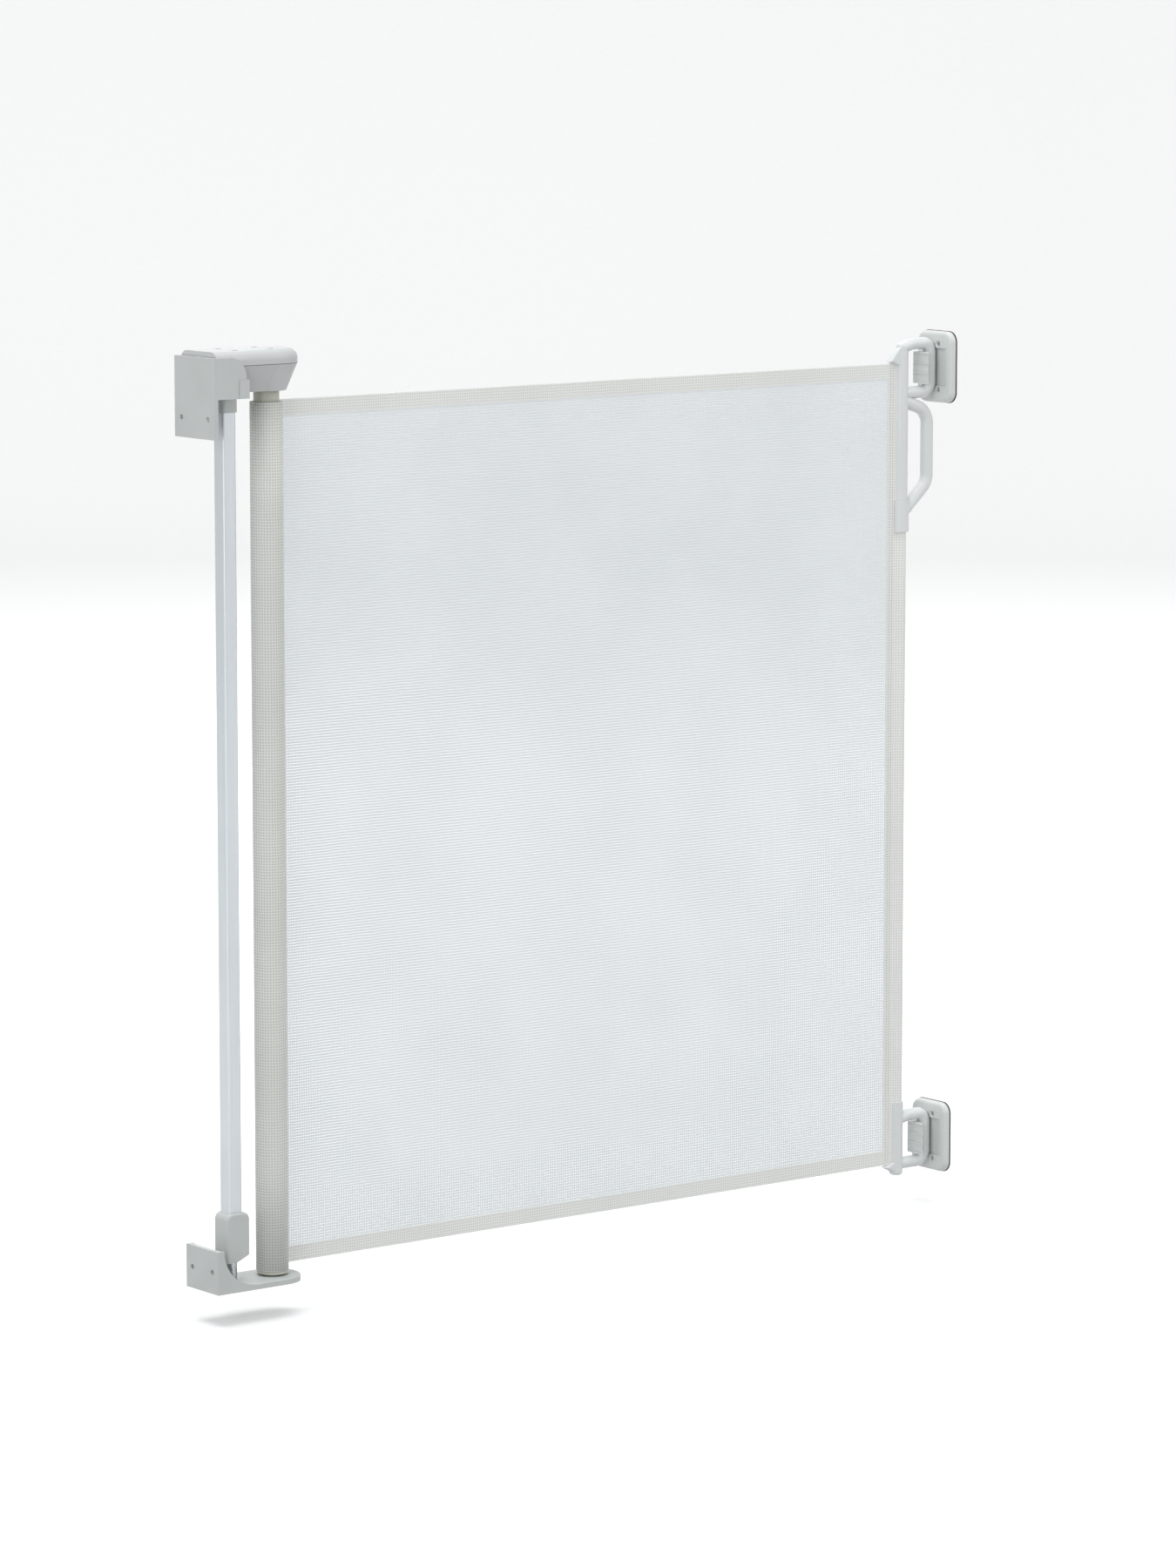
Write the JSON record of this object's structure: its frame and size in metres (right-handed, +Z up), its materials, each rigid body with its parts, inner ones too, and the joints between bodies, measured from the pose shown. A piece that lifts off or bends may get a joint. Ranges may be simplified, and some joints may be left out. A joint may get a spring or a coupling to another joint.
{
  "type": "safety baby gate",
  "caption": "Retractable mesh safety gate: wall-mounted roller housing with rail and foot, mesh panel with latch bar and grab handle, and wall catches.",
  "frame": {"origin": "centre of the foot bracket's wall face, midway between its two wall screws", "axes": "+X from the roller's wall to the latch wall, +Y to the back of the gate, +Z up"},
  "size_m": [0.8952, 0.0745, 0.8599],
  "materials": {
    "housing_plastic": "moulded, fine texture",
    "bracket_plastic": "moulded",
    "latch_plastic": "moulded, satin",
    "catch_plastic": "moulded, satin",
    "pad_rubber": "sheet",
    "rail_aluminium": "anodised",
    "tube_aluminium": "mill",
    "mesh_fabric": "woven mesh",
    "mesh_wound": "woven mesh, wound",
    "neck_plastic": "moulded",
    "acetal": "moulded",
    "steel": "zinc plated"
  },
  "bodies": {
    "root": {"foot_bracket": "bracket_plastic", "foot_bush": "acetal", "rail_foot_pin": "steel", "rail_bottom_cap": "bracket_plastic", "guide_rail": "rail_aluminium", "rail_top_socket": "bracket_plastic", "top_wall_bracket": "bracket_plastic", "housing_body": "housing_plastic", "housing_lid": "housing_plastic", "lid_screws": "steel", "top_spindle": "steel", "lock_detent_spring": "steel", "spring_mandrel": "steel", "torsion_spring": "steel", "catch_top": "catch_plastic", "catch_bottom": "catch_plastic", "catch_pad_top": "pad_rubber", "catch_pad_bottom": "pad_rubber"},
    "roller": {"roller_tube": "tube_aluminium", "roller_top_plug": "neck_plastic", "top_bush": "acetal", "lock_wheel": "acetal", "roller_bottom_plug": "neck_plastic", "spring_drive_plug": "neck_plastic", "mesh_retaining_strip": "neck_plastic", "mesh_roll": "mesh_wound"},
    "panel": {"mesh_panel": "mesh_fabric"},
    "bar": {"mesh_pocket": "mesh_wound", "latch_bar": "tube_aluminium", "top_latch_moulding": "latch_plastic", "bottom_latch_moulding": "latch_plastic", "bar_screws": "steel"},
    "lock": {"lock_bolt": "acetal", "lock_button": "housing_plastic"}
  },
  "joints": [
    {"name": "gate_swing", "type": "hinge", "parent": "root", "child": "panel", "pos_m": [0.078, 0, 0], "axis": [0, 0, -1], "range_deg": [0, 120]},
    {"name": "bar_retract", "type": "slide", "parent": "panel", "child": "bar", "axis": [-1, 0, 0], "range_m": [0, 0.69796], "deforming": ["mesh_panel"]},
    {"name": "roller_spin", "type": "hinge", "parent": "root", "child": "roller", "pos_m": [0.078, 0, 0], "axis": [0, 0, 1], "range_deg": [0, 2460.01]},
    {"name": "lock_slide", "type": "slide", "parent": "root", "child": "lock", "axis": [1, 0, 0], "range_m": [0, 0.0042]}
  ],
  "couplings": [
    {"joint": "bar_retract", "follows": "gate_swing", "m_per_rad": 0.33325},
    {"joint": "roller_spin", "follows": "gate_swing", "ratio": 20.5}
  ]
}
